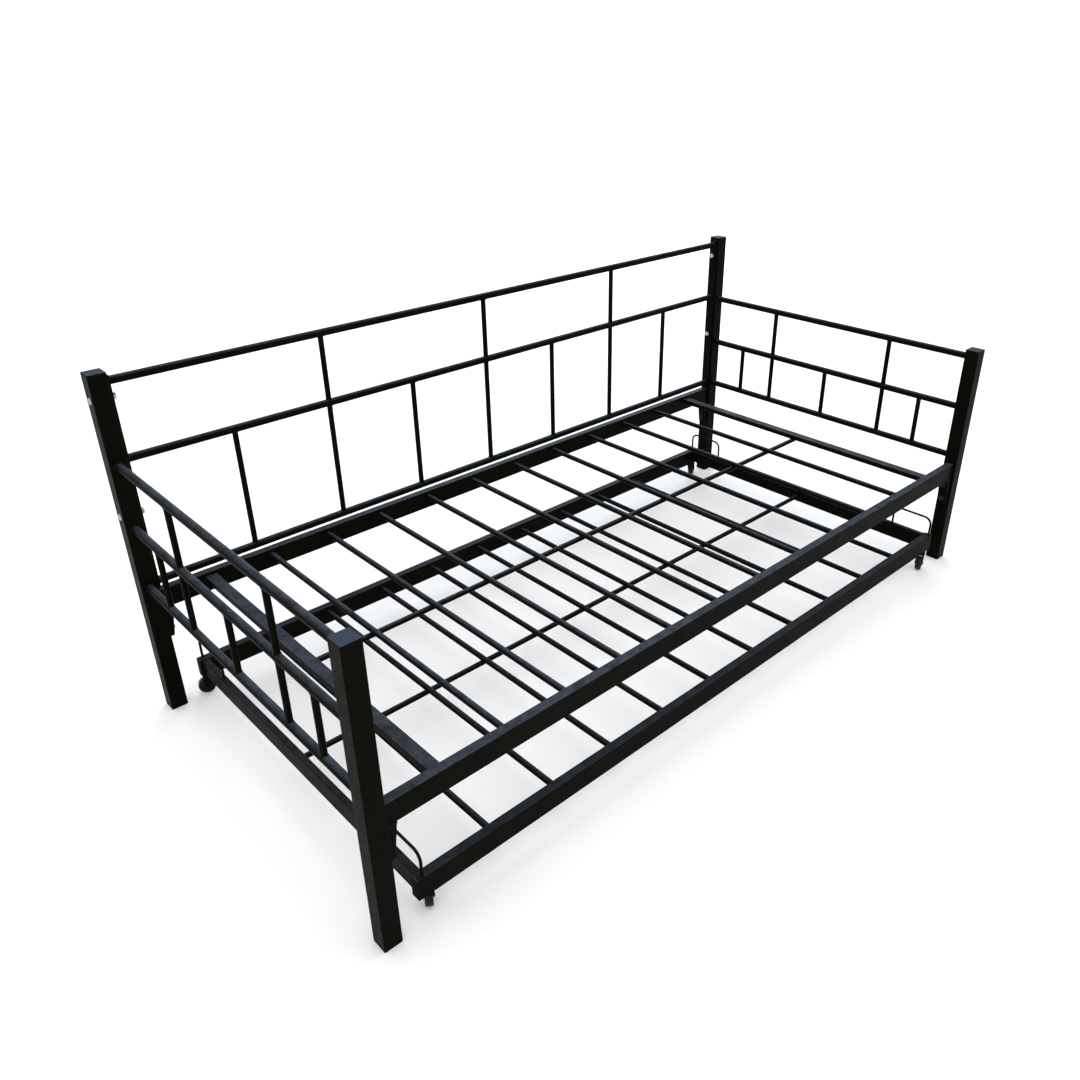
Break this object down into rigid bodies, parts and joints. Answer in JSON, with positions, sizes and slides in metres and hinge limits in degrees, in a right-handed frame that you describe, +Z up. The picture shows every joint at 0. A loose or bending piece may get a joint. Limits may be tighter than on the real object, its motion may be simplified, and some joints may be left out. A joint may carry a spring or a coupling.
{
  "type": "trundle daybed",
  "caption": "Metal daybed with square posts, open bar back and arms, a slatted deck, and a low slatted trundle on four swivel casters that rolls out at the front.",
  "frame": {"origin": "on the floor, at the middle of the bed's length and depth", "axes": "+X along the bed's length to the right as seen from its open front, +Y from the open front to the back panel, +Z up"},
  "size_m": [2.0082, 0.944, 0.826],
  "materials": {
    "frame_steel": "satin black powder coat",
    "trundle_steel": "satin black powder coat",
    "end_plugs": "fine-textured moulded plastic",
    "bright_fasteners": "zinc plated",
    "black_fasteners": "black oxide",
    "caster_metal": "black zinc plated",
    "caster_wheels": "moulded nylon"
  },
  "bodies": {
    "bed_frame": {"post_front_left": "frame_steel", "post_front_right": "frame_steel", "post_rear_left": "frame_steel", "post_rear_right": "frame_steel", "post_caps": "end_plugs", "foot_plugs": "end_plugs", "arm_left_top_rail": "frame_steel", "arm_left_middle_rail": "frame_steel", "arm_left_bottom_rail": "frame_steel", "arm_left_bars": "frame_steel", "arm_right_top_rail": "frame_steel", "arm_right_middle_rail": "frame_steel", "arm_right_bottom_rail": "frame_steel", "arm_right_bars": "frame_steel", "back_top_rail": "frame_steel", "back_middle_rail": "frame_steel", "back_bottom_rail": "frame_steel", "back_strip_left": "frame_steel", "back_strip_right": "frame_steel", "back_lower_bars": "frame_steel", "back_upper_bars": "frame_steel", "deck_front_rail": "frame_steel", "deck_rear_rail": "frame_steel", "deck_end_rail_left": "frame_steel", "deck_end_rail_right": "frame_steel", "deck_slats": "frame_steel", "deck_support_bar": "frame_steel", "rail_bracket_front_left": "frame_steel", "rail_bracket_front_right": "frame_steel", "rail_bracket_rear_left": "frame_steel", "rail_bracket_rear_right": "frame_steel", "panel_bolts": "bright_fasteners", "deck_bolts": "black_fasteners", "frame_nuts": "bright_fasteners"},
    "trundle": {"trundle_front_rail": "trundle_steel", "trundle_rear_rail": "trundle_steel", "trundle_end_rail_left": "trundle_steel", "trundle_end_rail_right": "trundle_steel", "trundle_slats": "trundle_steel", "trundle_support_bar": "trundle_steel", "mattress_retainer_front_left": "trundle_steel", "mattress_retainer_front_right": "trundle_steel", "mattress_retainer_rear_left": "trundle_steel", "mattress_retainer_rear_right": "trundle_steel", "trundle_rail_plugs": "end_plugs", "caster_stems": "caster_metal", "caster_nuts": "caster_metal"},
    "swivel_front_left": {"caster_fork_front_left": "caster_metal", "caster_axle_front_left": "caster_metal"},
    "wheel_front_left": {"caster_wheel_front_left": "caster_wheels"},
    "swivel_front_right": {"caster_fork_front_right": "caster_metal", "caster_axle_front_right": "caster_metal"},
    "wheel_front_right": {"caster_wheel_front_right": "caster_wheels"},
    "swivel_rear_left": {"caster_fork_rear_left": "caster_metal", "caster_axle_rear_left": "caster_metal"},
    "wheel_rear_left": {"caster_wheel_rear_left": "caster_wheels"},
    "swivel_rear_right": {"caster_fork_rear_right": "caster_metal", "caster_axle_rear_right": "caster_metal"},
    "wheel_rear_right": {"caster_wheel_rear_right": "caster_wheels"}
  },
  "joints": [
    {"name": "trundle_slide", "type": "slide", "parent": "bed_frame", "child": "trundle", "axis": [0, -1, 0], "range_m": [0, 1]},
    {"name": "caster_swivel_front_left", "type": "hinge", "parent": "trundle", "child": "swivel_front_left", "pos_m": [-0.89, -0.451, 0.0486], "axis": [0, 0, 1], "continuous": true},
    {"name": "caster_wheel_front_left", "type": "hinge", "parent": "swivel_front_left", "child": "wheel_front_left", "pos_m": [-0.88124, -0.43643, 0.02], "axis": [-0.8572, 0.515, 0], "continuous": true},
    {"name": "caster_swivel_front_right", "type": "hinge", "parent": "trundle", "child": "swivel_front_right", "pos_m": [0.89, -0.451, 0.0486], "axis": [0, 0, 1], "continuous": true},
    {"name": "caster_wheel_front_right", "type": "hinge", "parent": "swivel_front_right", "child": "wheel_front_right", "pos_m": [0.87383, -0.45625, 0.02], "axis": [0.309, -0.9511, 0], "continuous": true},
    {"name": "caster_swivel_rear_left", "type": "hinge", "parent": "trundle", "child": "swivel_rear_left", "pos_m": [-0.89, 0.441, 0.0486], "axis": [0, 0, 1], "continuous": true},
    {"name": "caster_wheel_rear_left", "type": "hinge", "parent": "swivel_rear_left", "child": "wheel_rear_left", "pos_m": [-0.90597, 0.44681, 0.02], "axis": [-0.342, -0.9397, 0], "continuous": true},
    {"name": "caster_swivel_rear_right", "type": "hinge", "parent": "trundle", "child": "swivel_rear_right", "pos_m": [0.89, 0.441, 0.0486], "axis": [0, 0, 1], "continuous": true},
    {"name": "caster_wheel_rear_right", "type": "hinge", "parent": "swivel_rear_right", "child": "wheel_rear_right", "pos_m": [0.90472, 0.4495, 0.02], "axis": [-0.5, 0.866, 0], "continuous": true}
  ]
}
